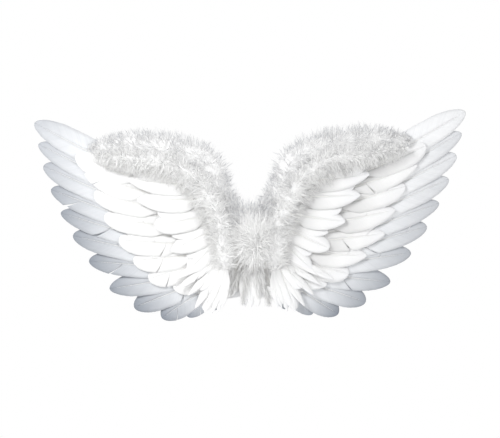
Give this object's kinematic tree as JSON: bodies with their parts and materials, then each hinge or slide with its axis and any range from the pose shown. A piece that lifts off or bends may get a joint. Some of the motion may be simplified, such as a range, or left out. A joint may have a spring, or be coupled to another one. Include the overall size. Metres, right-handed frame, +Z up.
{
  "type": "feather fairy wings",
  "caption": "Pair of white feather costume wings on wire frames, joined by a small back pad with elastic arm loops.",
  "frame": {"origin": "centre of the back pad's rear face, where it rests on the wearer's back", "axes": "+Z up, +X towards the tip of the right wing as seen from the feathered side, +Y out of the pad towards the wearer, feathers face -Y"},
  "size_m": [0.6, 0.1136, 0.2917],
  "materials": {
    "outer_feather": "cool white goose feather, slightly glossy vane",
    "front_feather": "clean white feather, soft satin vane",
    "marabou": "fluffy white down",
    "felt": "matte white needle felt",
    "card": "stiff pale grey board",
    "wire": "drawn steel wire",
    "tape": "cream cloth tape",
    "elastic": "woven white elastic"
  },
  "bodies": {
    "centre": {"back_pad": "felt", "centre_card": "card", "front_felt_patch": "felt", "upper_bridge_wire": "wire", "lower_bridge_wire": "wire", "upper_wire_tape": "tape", "lower_wire_tape": "tape", "centre_fluff_tuft": "marabou", "centre_hanging_feather_1": "front_feather", "centre_hanging_feather_2": "front_feather", "centre_hanging_feather_3": "front_feather", "right_strap_upper_end": "elastic", "right_strap_lower_end": "elastic", "left_strap_upper_end": "elastic", "left_strap_lower_end": "elastic"},
    "right_wing": {"right_wing_wire": "wire", "right_wing_back_felt": "felt", "right_wing_front_felt": "felt", "right_primary_feather_01": "outer_feather", "right_primary_feather_02": "outer_feather", "right_primary_feather_03": "outer_feather", "right_primary_feather_04": "outer_feather", "right_primary_feather_05": "outer_feather", "right_primary_feather_06": "outer_feather", "right_primary_feather_07": "outer_feather", "right_primary_feather_08": "outer_feather", "right_primary_feather_09": "outer_feather", "right_primary_feather_10": "outer_feather", "right_primary_feather_11": "outer_feather", "right_primary_feather_12": "outer_feather", "right_middle_feather_row": "front_feather", "right_covert_feather_row": "front_feather", "right_marabou_trim": "marabou"},
    "right_strap": {"right_arm_loop": "elastic"},
    "left_wing": {"left_wing_wire": "wire", "left_wing_back_felt": "felt", "left_wing_front_felt": "felt", "left_primary_feather_01": "outer_feather", "left_primary_feather_02": "outer_feather", "left_primary_feather_03": "outer_feather", "left_primary_feather_04": "outer_feather", "left_primary_feather_05": "outer_feather", "left_primary_feather_06": "outer_feather", "left_primary_feather_07": "outer_feather", "left_primary_feather_08": "outer_feather", "left_primary_feather_09": "outer_feather", "left_primary_feather_10": "outer_feather", "left_primary_feather_11": "outer_feather", "left_primary_feather_12": "outer_feather", "left_middle_feather_row": "front_feather", "left_covert_feather_row": "front_feather", "left_marabou_trim": "marabou"},
    "left_strap": {"left_arm_loop": "elastic"}
  },
  "joints": [
    {"name": "right_wing_bend", "type": "hinge", "parent": "centre", "child": "right_wing", "pos_m": [0.023, -0.0081, 0], "axis": [0, 0, 1], "range_deg": [-45, 20]},
    {"name": "left_wing_bend", "type": "hinge", "parent": "centre", "child": "left_wing", "pos_m": [-0.023, -0.0081, 0], "axis": [0, 0, -1], "range_deg": [-45, 20]},
    {"name": "right_strap_swing", "type": "hinge", "parent": "centre", "child": "right_strap", "pos_m": [0.015, -0.0034, 0], "axis": [0, 0, 1], "range_deg": [-15, 40]},
    {"name": "left_strap_swing", "type": "hinge", "parent": "centre", "child": "left_strap", "pos_m": [-0.015, -0.0034, 0], "axis": [0, 0, -1], "range_deg": [-15, 40]}
  ]
}
